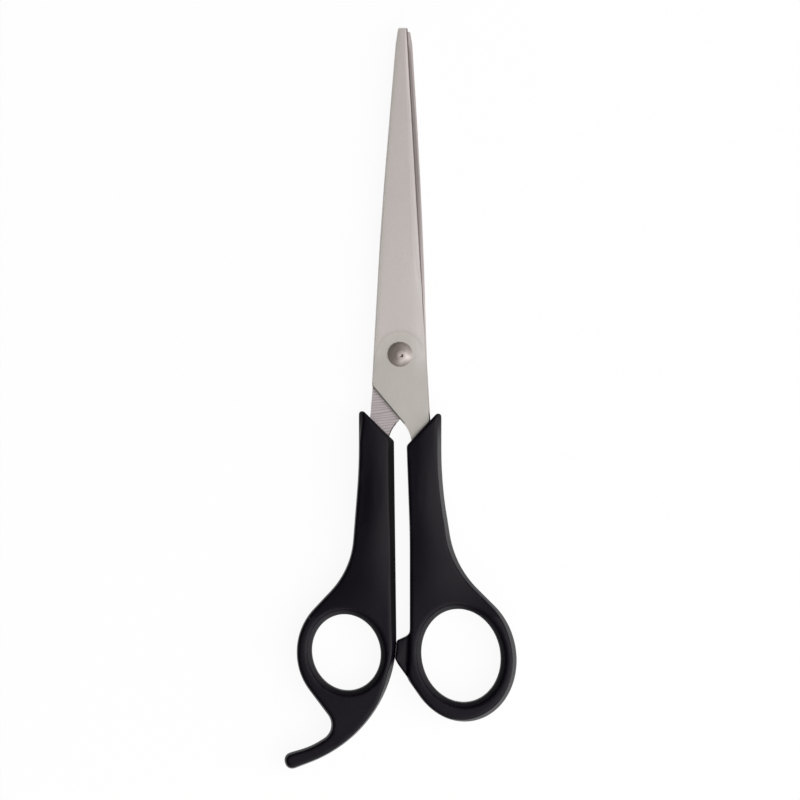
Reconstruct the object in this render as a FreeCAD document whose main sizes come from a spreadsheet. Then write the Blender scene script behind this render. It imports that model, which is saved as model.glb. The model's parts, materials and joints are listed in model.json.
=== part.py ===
import FreeCAD, Part
import math
import os
import Sketcher
from FreeCAD import Placement, Rotation, Vector

# Shears with two ground blades, one turned over against the other, a headed rivet as their
# pivot, and a plastic handle moulded on each tang. Every piece is drawn about the pivot
# axis with z = 0 where the blades meet, the points towards +Y, and is then lifted into the
# row frame: the shears lie on their back, and the origin is under the middle of their length.
# Lengths are in millimetres, angles in degrees.

SIZES = [
    # Where the pivot stands in the row frame
    ("pivot_ahead", 12.0, "pivot axis ahead of the middle of the overall length"),
    # Fits
    ("ride_gap", 0.05, "gap between the two blades at the pivot"),
    ("rivet_slack", 0.04, "radial running clearance of the rivet in the front blade"),
    ("head_gap", 0.03, "gap under the rivet's head"),
    ("stop_gap", 0.12, "gap between the stop and the other handle when the blades are shut"),
    # Both blades
    ("blade_thick", 1.9, "blade thickness at the pivot and tang"),
    ("tip_thick", 1.0, "blade thickness at the point"),
    ("tip_y", 89.5, "upper blade's point ahead of the pivot"),
    ("rear_tip_y", 88.5, "lower blade's point ahead of the pivot"),
    ("tip_left", -0.55, "spine side of the blunt point"),
    ("tip_right", 2.05, "cutting side of the blunt point"),
    ("tip_round", 0.5, "rounding of the point's two corners"),
    ("nose_x", -1.22, "where the spine turns in to the point, across"),
    ("nose_y", 85.2, "where the spine turns in to the point, along"),
    ("nose_round", 15.0, "rounding of that turn"),
    ("spine_x", -5.0, "middle of the curved spine, across"),
    ("spine_y", 42.5, "middle of the curved spine, along"),
    ("spine_round", 1800.0, "radius of the spine's long curve"),
    ("heel_x", -7.75, "heel corner at the lower end of the spine, across"),
    ("heel_y", -8.6, "heel corner, behind the pivot"),
    ("heel_round", 0.5, "rounding of the heel corner"),
    ("throat_x", 3.0, "foot of the upper blade's heel slant, across"),
    ("rear_throat_x", 2.5, "foot of the lower blade's heel slant, across"),
    ("throat_y", -21.4, "foot of the heel's slant, behind the pivot"),
    ("throat_round", 9.0, "hollow curve from the slant into the tang"),
    ("shoulder_x", 8.38, "shoulder on the upper blade's cutting side, across"),
    ("rear_shoulder_x", 7.95, "shoulder on the lower blade's cutting side, across"),
    ("shoulder_y", -20.5, "shoulder, behind the pivot"),
    ("shoulder_round", 2.0, "rounding of the shoulder"),
    ("tang_end", -62.0, "end of the tang, behind the pivot"),
    ("tang_left", 5.3, "spine side of the tang's end"),
    ("tang_right", 9.0, "cutting side of the tang's end"),
    ("tang_round", 1.2, "rounding of the tang's end"),
    ("anchor_r", 1.3, "radius of the hole that locks the plastic on the tang"),
    ("anchor_y", -52.0, "anchor hole, behind the pivot"),
    ("ride_end", 9.0, "ahead of the pivot, where the ride ends and the grinds begin"),
    ("grind_full", 24.0, "ahead of the pivot, where the bevel reaches its full depth"),
    ("bevel_width", 2.3, "width of the ground bevel at its full depth"),
    ("bevel_tip_width", 1.1, "width of the ground bevel at the point"),
    ("edge_thick", 1.62, "thickness left at the cutting edge at full depth"),
    ("edge_tip_thick", 0.88, "thickness left at the cutting edge at the point"),
    ("hone_width", 0.4, "width of the small bevel at the very edge"),
    ("spine_bevel", 0.35, "chamfer along the spine's outer edge"),
    ("hollow_depth", 0.22, "depth of the hollow ground inner face"),
    ("hollow_tip_depth", 0.06, "depth of the hollow at the point"),
    ("edge_land", 0.45, "flat land left beside the cutting edge and the spine"),
    ("blade_turn", 1.4, "turn of the lower blade from a true mirror of the upper one when shut"),
    # Rivet
    ("shank_r", 2.2, "radius of the rivet's shank"),
    ("head_r", 3.38, "radius of the rivet's domed head"),
    ("head_rim", 0.35, "height of the straight rim under the dome"),
    ("head_high", 1.55, "height of the head above the blade"),
    ("dimple_r", 0.34, "radius of the centre mark in the head"),
    ("dimple_deep", 0.3, "depth of the centre mark"),
    ("washer_r", 4.3, "radius of the washer behind the lower blade"),
    ("washer_thick", 0.5, "thickness of that washer"),
    ("tail_r", 3.1, "radius of the closed tail of the rivet"),
    ("tail_high", 0.9, "height of the closed tail"),
    # Both handles
    ("grip_thick", 8.6, "thickness of a handle along its shank"),
    ("bow_thick", 7.0, "thickness of a handle around its bow"),
    ("crown_r", 20.0, "radius of the crowned faces of a shank"),
    ("grip_top", -13.0, "highest reach of a handle before its mouth is cut"),
    ("grip_full", -46.0, "behind the pivot, where the shank keeps its full thickness"),
    ("bow_start", -67.0, "behind the pivot, where the handle has thinned to its bow"),
    ("arch_half", 8.0, "half the width that a shank's crown is measured over"),
    ("bow_reach", 18.5, "half the width of the flat faces over a bow"),
    ("edge_bevel", 1.4, "bevel that breaks a handle's edges"),
    ("hole_bevel", 1.5, "bevel that breaks the bow's inside edges"),
    ("horn_round", 0.9, "rounding of the horn beside the mouth"),
    ("lip_chamfer", 0.45, "chamfer on the lip of the mouth"),
    # Left handle: the small bow, with the finger rest
    ("left_in_top", -1.69, "inner side at the mouth, across"),
    ("left_mouth_y", -23.7, "inner end of the mouth, behind the pivot"),
    ("left_horn_y", -14.27, "outer end of the mouth, behind the pivot"),
    ("left_out", -11.33, "outer side of the shank, across"),
    ("left_waist_y", -31.0, "where the shank begins to spread, along"),
    ("left_waist_round", 150.0, "radius of that slow spread"),
    ("left_flare_x", -13.53, "middle of the flare, across"),
    ("left_flare_y", -59.0, "middle of the flare, along"),
    ("left_flare_round", 23.0, "radius of the flare"),
    ("left_bow_x", -14.75, "centre of the left bow, across"),
    ("left_bow_y", -81.67, "centre of the left bow, behind the pivot"),
    ("left_bow_a", 10.49, "half length of the left bow's hole"),
    ("left_bow_b", 9.35, "half width of the left bow's hole"),
    ("left_bow_lean", 14.25, "lean of the left bow's hole from the Y axis"),
    ("left_rim", 4.25, "wall of the left bow on its outer side"),
    ("left_bow_round", 17.0, "radius of the left bow's outer side"),
    ("left_side_up", 7.0, "upper end of the bow's straight side above its centre"),
    ("left_side_down", 5.75, "lower end of the bow's straight side below its centre"),
    ("crook_x", -16.8, "crook of the finger rest, across"),
    ("crook_y", -102.8, "crook of the finger rest, along"),
    ("crook_round", 4.5, "radius of the crook"),
    ("rest_bend_x", -24.57, "bend in the upper edge of the finger rest, across"),
    ("rest_bend_y", -107.5, "bend in the upper edge of the finger rest, along"),
    ("rest_bend_round", 20.0, "radius of that bend"),
    ("rest_tip_x", -29.34, "centre of the finger rest's round end, across"),
    ("rest_tip_y", -111.3, "centre of the finger rest's round end, along"),
    ("rest_tip_r", 2.35, "radius of the finger rest's round end"),
    ("rest_tip_lean", 18.4, "slope of the finger rest at its end"),
    ("rest_start", 19.0, "behind the small bow's middle, where the finger rest thins"),
    ("rest_thick", 5.6, "thickness of the finger rest at its end"),
    ("heel_turn_x", -0.72, "outer corner behind the left bow, across"),
    ("heel_turn_y", -103.25, "outer corner behind the left bow, along"),
    ("heel_turn_round", 36.5, "radius of the sweep from the shank into the finger rest"),
    ("left_bevel_width", 1.5, "width of the bevel along the left handle's inner side"),
    ("left_bevel_deep", 2.6, "depth of that bevel"),
    # Right handle: the large bow, with the stop
    ("right_in_top", 1.75, "inner side at the mouth, across"),
    ("right_mouth_y", -25.0, "inner end of the mouth, behind the pivot"),
    ("right_horn_y", -14.8, "outer end of the mouth, behind the pivot"),
    ("right_in", 2.63, "inner side of the shank, across"),
    ("right_in_bend_y", -49.5, "bend in the inner side, along"),
    ("right_in_round", 300.0, "radius of that bend"),
    ("right_out", 11.32, "outer side of the shank, across"),
    ("right_waist_y", -34.6, "where the shank begins to spread, along"),
    ("right_waist_round", 110.0, "radius of that slow spread"),
    ("right_flare_x", 15.0, "middle of the flare, across"),
    ("right_flare_y", -58.1, "middle of the flare, along"),
    ("right_flare_round", 27.0, "radius of the flare"),
    ("right_bow_x", 16.67, "centre of the right bow, across"),
    ("right_bow_y", -82.56, "centre of the right bow, behind the pivot"),
    ("right_bow_a", 12.84, "half length of the right bow's hole"),
    ("right_bow_b", 10.77, "half width of the right bow's hole"),
    ("right_bow_lean", 12.0, "lean of the right bow's hole from the Y axis"),
    ("right_rim_end", 5.45, "wall of the right bow at its far end"),
    ("right_rim_side", 4.4, "wall of the right bow at its sides"),
    ("right_ring_y", -75.0, "bend where the side leans out beside the bow, along"),
    ("right_ring_round", 15.0, "radius of that bend"),
    ("right_corner_x", 2.1, "inner corner where the side meets the bow's flank, across"),
    ("right_corner_y", -89.1, "inner corner where the side meets the bow's flank, along"),
    ("right_bevel_width", 0.7, "width of the bevel along the right handle's inner side"),
    ("right_bevel_deep", 0.9, "depth of that bevel"),
    # Stop on the right handle
    ("stop_y", -78.4, "upper end of the stop's face, along"),
    ("stop_rise", 1.5, "rise of the stop's upper edge to the shank"),
    ("stop_long", 6.1, "length of the stop's face"),
    ("stop_thick", 5.0, "thickness of the stop"),
    ("stop_round", 0.6, "rounding of the stop's corners"),
    ("stop_root", 1.6, "depth of the stop's root inside the handle"),
    ("stop_blend", 2.0, "radius of the corner between the stop and the shank"),
]

PARTS = "parts"
SHEET = "Sizes"


class Dim:
    """A size that holds its number and the expression that works it out from the sheet."""

    def __init__(self, number, text):
        self.number = float(number)
        self.text = text

    def __add__(self, other):
        other = dim(other)
        return Dim(self.number + other.number, f"({self.text} + {other.text})")

    def __sub__(self, other):
        other = dim(other)
        return Dim(self.number - other.number, f"({self.text} - {other.text})")

    def __mul__(self, other):
        other = dim(other)
        return Dim(self.number * other.number, f"({self.text} * {other.text})")

    def __truediv__(self, other):
        other = dim(other)
        return Dim(self.number / other.number, f"({self.text} / {other.text})")

    def __radd__(self, other):
        return dim(other) + self

    def __rsub__(self, other):
        return dim(other) - self

    def __rmul__(self, other):
        return dim(other) * self

    def __neg__(self):
        return 0 - self


def dim(value):
    return value if isinstance(value, Dim) else Dim(value, repr(float(value)))


def sine(angle):
    return Dim(math.sin(math.radians(angle.number)), f"sin({angle.text})")


def cosine(angle):
    return Dim(math.cos(math.radians(angle.number)), f"cos({angle.text})")


def root(square):
    return Dim(math.sqrt(square.number), f"sqrt({square.text})")


class Sizes:
    """The sheet's cells, each read by its alias as a Dim."""

    def __init__(self, doc):
        sheet = doc.addObject("Spreadsheet::Sheet", SHEET)
        for row, (alias, value, meaning) in enumerate(SIZES, start=1):
            sheet.set(f"A{row}", alias)
            sheet.set(f"B{row}", str(value))
            sheet.set(f"C{row}", meaning)
            sheet.setAlias(f"B{row}", alias)
            setattr(self, alias, Dim(value, f"{SHEET}.{alias}"))
        doc.recompute()


def bind(thing, path, size):
    thing.setExpression(path, size.text)


# ---------------------------------------------------------------- sketches


def plane_of(body, role):
    return next(f for f in body.Origin.OriginFeatures if f.Role == role)


def new_sketch(body, name, role, offset=None):
    """A sketch on one of the body's origin planes, moved along the plane's normal by offset."""
    sketch = body.newObject("Sketcher::SketchObject", name)
    sketch.AttachmentSupport = [(plane_of(body, role), "")]
    sketch.MapMode = "FlatFace"
    if offset is not None:
        sketch.AttachmentOffset = Placement(Vector(0, 0, offset.number), Rotation())
        bind(sketch, "AttachmentOffset.Base.z", offset)
    return sketch


def measure(sketch, kind, where, size):
    """Adds a dimensional constraint and binds it to the sheet."""
    index = sketch.addConstraint(Sketcher.Constraint(kind, *where, size.number))
    bind(sketch, f"Constraints[{index}]", size)


def pin_point(sketch, geometry, end, x, y):
    measure(sketch, "DistanceX", (geometry, end), x)
    measure(sketch, "DistanceY", (geometry, end), y)


def numbers(point):
    return Vector(dim(point[0]).number, dim(point[1]).number, 0)


class Round:
    """A corner of an outline: where its two sides would meet, and the radius that rounds it."""

    def __init__(self, x, y, radius=None):
        self.x, self.y, self.radius = dim(x), dim(y), radius
        self.point = Vector(self.x.number, self.y.number, 0)


class Oval:
    """A stretch of an outline that follows an ellipse, touching the sides before and after it."""

    def __init__(self, x, y, half_long, half_wide, lean):
        self.x, self.y, self.a, self.b, self.lean = x, y, half_long, half_wide, lean
        self.centre = Vector(x.number, y.number, 0)

    def ellipse(self):
        angle = math.radians(90 + self.lean.number)
        major = Vector(math.cos(angle), math.sin(angle), 0)
        minor = Vector(-math.sin(angle), math.cos(angle), 0)
        return Part.Ellipse(
            self.centre + major * self.a.number, self.centre + minor * self.b.number, self.centre
        )

    def touch(self, point, leaving):
        """Where a side through the point touches the ellipse, which runs anticlockwise."""
        angle = math.radians(90 + self.lean.number)
        away = point - self.centre
        u = (away.x * math.cos(angle) + away.y * math.sin(angle)) / self.a.number
        v = (-away.x * math.sin(angle) + away.y * math.cos(angle)) / self.b.number
        spread = math.acos(1 / math.hypot(u, v))
        return math.atan2(v, u) + (-spread if leaving else spread)


def draw_outline(sketch, corners):
    """Draws a closed anticlockwise outline of straight sides through the corners in turn."""
    count = len(corners)
    arrive = [None] * count  # where the side before a corner ends
    leave = [None] * count  # where the side after it starts
    for i, corner in enumerate(corners):
        if isinstance(corner, Oval):
            first = corner.touch(corners[i - 1].point, leaving=False)
            last = corner.touch(corners[(i + 1) % count].point, leaving=True)
            while last < first:
                last += 2 * math.pi
            corner.span = (first, last)
            ellipse = corner.ellipse()
            arrive[i], leave[i] = ellipse.value(first), ellipse.value(last)
    for i, corner in enumerate(corners):
        if isinstance(corner, Oval):
            continue
        before, after = corners[i - 1], corners[(i + 1) % count]
        come = leave[i - 1] if isinstance(before, Oval) else before.point
        go = arrive[(i + 1) % count] if isinstance(after, Oval) else after.point
        into = (corner.point - come).normalize()
        out = (go - corner.point).normalize()
        if corner.radius is None:
            arrive[i] = leave[i] = corner.point
            continue
        turn = into.getAngle(out)
        reach = corner.radius.number * math.tan(turn / 2)
        arrive[i] = corner.point - into * reach
        leave[i] = corner.point + out * reach
        corner.left = into.cross(out).z > 0
        side = Vector(-into.y, into.x, 0) if corner.left else Vector(into.y, -into.x, 0)
        corner.centre = arrive[i] + side * corner.radius.number

    sides = []
    for i in range(count):
        line = Part.LineSegment(leave[i], arrive[(i + 1) % count])
        sides.append(sketch.addGeometry(line, False))
    for i, corner in enumerate(corners):
        side_in, side_out = sides[i - 1], sides[i]
        if isinstance(corner, Oval):
            join_oval(sketch, corner, side_in, side_out)
        elif corner.radius is None:
            sketch.addConstraint(Sketcher.Constraint("Coincident", side_in, 2, side_out, 1))
            pin_point(sketch, side_out, 1, corner.x, corner.y)
        else:
            join_round(sketch, corner, side_in, side_out, arrive[i], leave[i])


def join_round(sketch, corner, side_in, side_out, start, end):
    if not corner.left:
        start, end = end, start
    angles = [math.atan2(p.y - corner.centre.y, p.x - corner.centre.x) for p in (start, end)]
    circle = Part.Circle(corner.centre, Vector(0, 0, 1), corner.radius.number)
    arc = sketch.addGeometry(Part.ArcOfCircle(circle, *angles), False)
    first, last = (1, 2) if corner.left else (2, 1)
    sketch.addConstraint(Sketcher.Constraint("Tangent", side_in, 2, arc, first))
    sketch.addConstraint(Sketcher.Constraint("Tangent", arc, last, side_out, 1))
    apex = sketch.addGeometry(Part.Point(corner.point), True)
    sketch.addConstraint(Sketcher.Constraint("PointOnObject", apex, 1, side_in))
    sketch.addConstraint(Sketcher.Constraint("PointOnObject", apex, 1, side_out))
    pin_point(sketch, apex, 1, corner.x, corner.y)
    measure(sketch, "Radius", (arc,), corner.radius)


def join_oval(sketch, oval, side_in, side_out):
    arc = sketch.addGeometry(Part.ArcOfEllipse(oval.ellipse(), *oval.span), False)
    shape_oval(sketch, arc, oval)
    sketch.addConstraint(Sketcher.Constraint("Tangent", side_in, 2, arc, 1))
    sketch.addConstraint(Sketcher.Constraint("Tangent", arc, 2, side_out, 1))


def shape_oval(sketch, curve, oval):
    """Holds an ellipse's centre, half lengths and lean through its two axes."""
    before = sketch.GeometryCount
    sketch.exposeInternalGeometry(curve)
    major, minor = before, before + 1
    pin_point(sketch, curve, 3, oval.x, oval.y)
    measure(sketch, "Distance", (major,), oval.a * 2)
    measure(sketch, "Distance", (minor,), oval.b * 2)
    index = sketch.addConstraint(
        Sketcher.Constraint("Angle", -1, 1, major, 1, math.radians(90 + oval.lean.number))
    )
    bind(sketch, f"Constraints[{index}]", 90 + oval.lean)


def draw_oval(sketch, oval):
    curve = sketch.addGeometry(oval.ellipse(), False)
    shape_oval(sketch, curve, oval)


def section_sketch(body, name, y, points, arched=False):
    """A closed cross section at y, through (across, up) points.

    When arched, the first side is an arc through the second point to the third.
    """
    sketch = new_sketch(body, name, "XZ_Plane", -y)
    if arched:
        first, apex, last = (numbers(p) for p in points[:3])
        sketch.addGeometry(Part.Arc(first, apex, last), False)
        ends = (1, 2) if sketch.Geometry[0].StartPoint.distanceToPoint(first) < 1e-6 else (2, 1)
        mark = sketch.addGeometry(Part.Point(apex), True)
        sketch.addConstraint(Sketcher.Constraint("PointOnObject", mark, 1, 0))
        pin_point(sketch, mark, 1, *points[1])
        pin_point(sketch, 0, ends[0], *points[0])
        points = points[2:] + points[:1]
    else:
        points = points + points[:1]
    lines = []
    for near, far in zip(points, points[1:]):
        lines.append(sketch.addGeometry(Part.LineSegment(numbers(near), numbers(far)), False))
        pin_point(sketch, lines[-1], 1, *near)
        if len(lines) > 1:
            sketch.addConstraint(Sketcher.Constraint("Coincident", lines[-2], 2, lines[-1], 1))
    if arched:
        sketch.addConstraint(Sketcher.Constraint("Coincident", 0, ends[1], lines[0], 1))
        sketch.addConstraint(Sketcher.Constraint("Coincident", lines[-1], 2, 0, ends[0]))
    else:
        sketch.addConstraint(Sketcher.Constraint("Coincident", lines[-1], 2, lines[0], 1))
    return sketch


# ---------------------------------------------------------------- features


def new_body(doc, name):
    body = doc.addObject("PartDesign::Body", name)
    body.Label = name
    return body


def pad(body, name, sketch, length, both_ways=False):
    feature = body.newObject("PartDesign::Pad", name)
    feature.Profile = sketch
    feature.Midplane = both_ways
    feature.Length = length.number
    bind(feature, "Length", length)
    return feature


def pocket_through(body, name, sketch):
    """Cuts the sketch right through the body, both ways from its plane."""
    feature = body.newObject("PartDesign::Pocket", name)
    feature.Profile = sketch
    feature.Midplane = True
    feature.Type = "ThroughAll"
    return feature


def loft_cut(body, name, sections, ruled):
    feature = body.newObject("PartDesign::SubtractiveLoft", name)
    feature.Profile = sections[0]
    feature.Sections = sections[1:]
    feature.Ruled = ruled
    return feature


def mirror_behind(body, name, features):
    """Repeats features of a handle on its back."""
    mirror = body.newObject("PartDesign::Mirrored", name)
    mirror.Originals = features
    mirror.MirrorPlane = (plane_of(body, "XY_Plane"), [""])
    body.Tip = mirror
    return mirror


def edges_where(shape, test):
    """Names of the edges whose middle point passes the test."""
    names = []
    for i, edge in enumerate(shape.Edges, start=1):
        low, high = edge.ParameterRange
        if test(edge.valueAt((low + high) / 2), edge):
            names.append(f"Edge{i}")
    return names


def bevel_edges(body, name, size, test):
    body.Document.recompute()
    before = body.Tip
    feature = body.newObject("PartDesign::Chamfer", name)
    feature.Base = (before, edges_where(before.Shape, test))
    feature.Size = size.number
    bind(feature, "Size", size)
    return feature


def circle_sketch(body, name, x, y, radius):
    sketch = new_sketch(body, name, "XY_Plane")
    centre = Vector(dim(x).number, dim(y).number, 0)
    ring = sketch.addGeometry(Part.Circle(centre, Vector(0, 0, 1), radius.number), False)
    if centre.Length < 1e-9:
        sketch.addConstraint(Sketcher.Constraint("Coincident", ring, 3, -1, 1))
    else:
        pin_point(sketch, ring, 3, dim(x), dim(y))
    measure(sketch, "Radius", (ring,), radius)
    return sketch


# ---------------------------------------------------------------- blades


def edge_line(z, shoulder_x, tip_y, y):
    """Cutting side of a blade at y."""
    slope = (z.tip_right - shoulder_x) / (tip_y - z.shoulder_y)
    return shoulder_x + slope * (y - z.shoulder_y)


def spine_line(z, y):
    """Spine of the blade at y, read between the corners of its curve."""
    if y.number > z.spine_y.number:
        slope = (z.nose_x - z.spine_x) / (z.nose_y - z.spine_y)
    else:
        slope = (z.spine_x - z.heel_x) / (z.spine_y - z.heel_y)
    return z.spine_x + slope * (y - z.spine_y)


def build_blade(doc, z, name, hole_r, throat_x, shoulder_x, tip_y):
    """A blade with its inner face down at half the ride gap and its cutting side at +X."""
    body = new_body(doc, name)
    inner = z.ride_gap / 2
    outer = inner + z.blade_thick

    outline = new_sketch(body, name + "_outline", "XY_Plane", inner)
    draw_outline(
        outline,
        [
            Round(z.tip_right, tip_y, z.tip_round),
            Round(z.tip_left, tip_y, z.tip_round),
            Round(z.nose_x, z.nose_y, z.nose_round),
            Round(z.spine_x, z.spine_y, z.spine_round),
            Round(z.heel_x, z.heel_y, z.heel_round),
            Round(throat_x, z.throat_y, z.throat_round),
            Round(z.tang_left, z.tang_end, z.tang_round),
            Round(z.tang_right, z.tang_end, z.tang_round),
            Round(shoulder_x, z.shoulder_y, z.shoulder_round),
        ],
    )
    pad(body, name + "_blank", outline, z.blade_thick)

    # The outer face falls away from the ride to the point.
    past = tip_y + 2
    fall = (z.blade_thick - z.tip_thick) / (tip_y - z.ride_end)
    taper = new_sketch(body, name + "_taper_side", "YZ_Plane")
    draw_outline(
        taper,
        [
            Round(z.ride_end, outer),
            Round(past, outer - fall * (past - z.ride_end)),
            Round(past, outer + 1),
        ],
    )
    pocket_through(body, name + "_taper", taper)

    def spine_edge(point, edge):
        on_top = point.z > inner.number + 0.75 * z.tip_thick.number
        if not on_top or point.y < z.heel_y.number:
            return False
        return abs(point.x - spine_line(z, dim(point.y)).number) < 0.6 and edge.Length > 2

    bevel_edges(body, name + "_spine_chamfer", z.spine_bevel, spine_edge)
    # Hollow inner face, from the ride to the point, with a land left along both sides.
    hollow = []
    depths = (
        (z.ride_end, z.hollow_depth * 0.1),
        (z.grind_full, z.hollow_depth),
        (z.spine_y, z.hollow_depth),
        (z.nose_y, z.hollow_tip_depth),
    )
    for i, (y, depth) in enumerate(depths, start=1):
        left = spine_line(z, y) + z.edge_land
        right = edge_line(z, shoulder_x, tip_y, y) - z.edge_land
        below = inner - 0.5
        points = [
            (right, inner),
            ((left + right) / 2, inner + depth),
            (left, inner),
            (left, below),
            (right, below),
        ]
        hollow.append(section_sketch(body, f"{name}_hollow_{i}", y, points, arched=True))
    loft_cut(body, name + "_hollow", hollow, ruled=True)

    # Ground bevel down to the edge and the small honed bevel below it. Both come out of the
    # faces just ahead of the ride, where the first section lies clear of the blade.
    top = outer + 0.02
    edge = edge_line(z, shoulder_x, tip_y, z.ride_end)
    points = [
        (edge - z.bevel_width - 0.5, top + 0.02),
        (edge + 0.1, top),
        (edge + 0.3, inner - 0.5),
        (edge + 1.5, inner - 0.5),
        (edge + 1.5, top + 0.6),
        (edge - z.bevel_width - 0.5, top + 0.6),
    ]
    bevels = [section_sketch(body, name + "_bevel_1", z.ride_end, points)]
    grinds = (
        (z.grind_full, z.bevel_width * 0.95, z.edge_thick),
        (tip_y + 1, z.bevel_tip_width, z.edge_tip_thick),
    )
    for i, (y, width, thick) in enumerate(grinds, start=2):
        edge = edge_line(z, shoulder_x, tip_y, y) - 0.03
        top = outer - fall * (y - z.ride_end)
        slope = (top - inner - thick) / (width - z.hone_width)
        points = [
            (edge - width - 0.5, top + slope * 0.5),
            (edge - z.hone_width, inner + thick),
            (edge + z.hone_width * 0.5, inner - thick * 0.5),
            (edge + 1.5, inner - thick * 0.5),
            (edge + 1.5, top + 0.6),
            (edge - width - 0.5, top + 0.6),
        ]
        bevels.append(section_sketch(body, f"{name}_bevel_{i}", y, points))
    loft_cut(body, name + "_bevel", bevels, ruled=True)

    pivot = circle_sketch(body, name + "_pivot", 0, 0, hole_r)
    pocket_through(body, name + "_pivot_hole", pivot)
    mid_tang = (z.tang_left + z.tang_right) / 2 - 0.2
    anchor = circle_sketch(body, name + "_anchor", mid_tang, z.anchor_y, z.anchor_r)
    pocket_through(body, name + "_anchor_hole", anchor)

    return body


# ---------------------------------------------------------------- rivet


def revolve(body, name, sketch):
    feature = body.newObject("PartDesign::Revolution", name)
    feature.Profile = sketch
    feature.ReferenceAxis = (sketch, ["V_Axis"])
    feature.Angle = 360
    return feature


def build_rivet(doc, z):
    body = new_body(doc, "pivot_rivet")
    seat = z.ride_gap / 2 + z.blade_thick + z.head_gap
    rim = seat + z.head_rim
    top = seat + z.head_high
    back = -(z.ride_gap / 2 + z.blade_thick + z.washer_thick)
    tail = back - z.tail_high
    dome_r = (z.head_r * z.head_r + (top - rim) * (top - rim)) / (2 * (top - rim))

    profile = new_sketch(body, "rivet_profile", "XZ_Plane")
    points = [
        (dim(0), tail),
        (z.tail_r - 0.5, tail),
        (z.tail_r, tail + 0.5),
        (z.tail_r, back),
        (z.shank_r, back),
        (z.shank_r, seat),
        (z.head_r, seat),
        (z.head_r, rim),
        (dim(0), top),
    ]
    sides = []
    for i, point in enumerate(points):
        follow = points[(i + 1) % len(points)]
        if i == len(points) - 2:
            start, end = numbers(point), numbers(follow)
            centre = Vector(0, top.number - dome_r.number, 0)
            first = math.atan2(start.y - centre.y, start.x)
            circle = Part.Circle(centre, Vector(0, 0, 1), dome_r.number)
            arc = Part.ArcOfCircle(circle, first, math.pi / 2)
            sides.append(profile.addGeometry(arc, False))
        else:
            line = Part.LineSegment(numbers(point), numbers(follow))
            sides.append(profile.addGeometry(line, False))
    for i, side in enumerate(sides):
        before = sides[i - 1]
        profile.addConstraint(Sketcher.Constraint("Coincident", before, 2, side, 1))
        x, y = points[i]
        if x.number == 0:
            profile.addConstraint(Sketcher.Constraint("PointOnObject", side, 1, -2))
            measure(profile, "DistanceY", (side, 1), y)
        else:
            pin_point(profile, side, 1, x, y)
    profile.addConstraint(Sketcher.Constraint("PointOnObject", sides[-2], 3, -2))
    revolve(body, "rivet_solid", profile)

    mark = new_sketch(body, "rivet_mark_profile", "XZ_Plane")
    draw_outline(
        mark,
        [
            Round(0, top - z.dimple_deep),
            Round(z.dimple_r * 1.6, top + z.dimple_deep * 0.6),
            Round(0, top + z.dimple_deep * 0.6),
        ],
    )
    groove = body.newObject("PartDesign::Groove", "rivet_mark")
    groove.Profile = mark
    groove.ReferenceAxis = (mark, ["V_Axis"])
    groove.Angle = 360
    return body


def build_washer(doc, z):
    body = new_body(doc, "rivet_washer")
    top = -(z.ride_gap / 2 + z.blade_thick)
    ring = new_sketch(body, "washer_ring", "XY_Plane", top)
    for radius in (z.washer_r, z.shank_r):
        circle = Part.Circle(Vector(0, 0, 0), Vector(0, 0, 1), radius.number)
        index = ring.addGeometry(circle, False)
        ring.addConstraint(Sketcher.Constraint("Coincident", index, 3, -1, 1))
        measure(ring, "Radius", (index,), radius)
    plate = pad(body, "washer_plate", ring, z.washer_thick)
    plate.Reversed = True

    def rear_rim(point, edge):
        low = point.z < top.number - 0.5 * z.washer_thick.number
        return low and math.hypot(point.x, point.y) > z.washer_r.number - 0.01

    bevel_edges(body, "washer_chamfer", z.washer_thick * 0.4, rear_rim)
    return body


# ---------------------------------------------------------------- handles


def crown_sections(body, z, name, shank_x, bow_x):
    """Sections above the front of a handle: arched over the shank, flat over the bow."""
    shank_half = z.arch_half
    thick = z.grip_thick / 2
    bow = z.bow_thick / 2
    rest = z.rest_thick / 2
    sag = shank_half * shank_half / (2 * z.crown_r)
    middle = (z.grip_full + z.bow_start) / 2
    ring_end = z.left_bow_y - z.rest_start
    stations = [
        (z.grip_top + 3, 0.0, thick),
        ((z.grip_top + z.grip_full) / 2, 0.0, thick),
        (z.grip_full, 0.04, thick - (thick - bow) * 0.04),
        (middle, 0.5, (thick + bow) / 2),
        (z.bow_start, 0.96, bow + (thick - bow) * 0.04),
        ((z.bow_start + ring_end) / 2, 1.0, bow),
        (ring_end, 1.0, bow - (bow - rest) * 0.2),
        (z.rest_tip_y - 8, 1.0, rest - (bow - rest) * 0.4),
    ]
    sections = []
    for i, (y, blend, top) in enumerate(stations, start=1):
        centre = shank_x + (bow_x - shank_x) * blend
        half = shank_half + (z.bow_reach - shank_half) * blend
        drop = sag * (1 - blend) + 0.08
        side = top - drop
        lid = thick + 2
        points = [
            (centre + half, side),
            (centre, top),
            (centre - half, side),
            (centre - half, lid),
            (centre + half, lid),
        ]
        sections.append(section_sketch(body, f"{name}_crown_{i}", y, points, arched=True))
    return sections


def inside(oval, point):
    """Below 1 inside the oval, 1 on it, above 1 outside."""
    angle = math.radians(90 + oval.lean.number)
    away = point - oval.centre
    u = (away.x * math.cos(angle) + away.y * math.sin(angle)) / oval.a.number
    v = (-away.x * math.sin(angle) + away.y * math.cos(angle)) / oval.b.number
    return u * u + v * v


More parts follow.
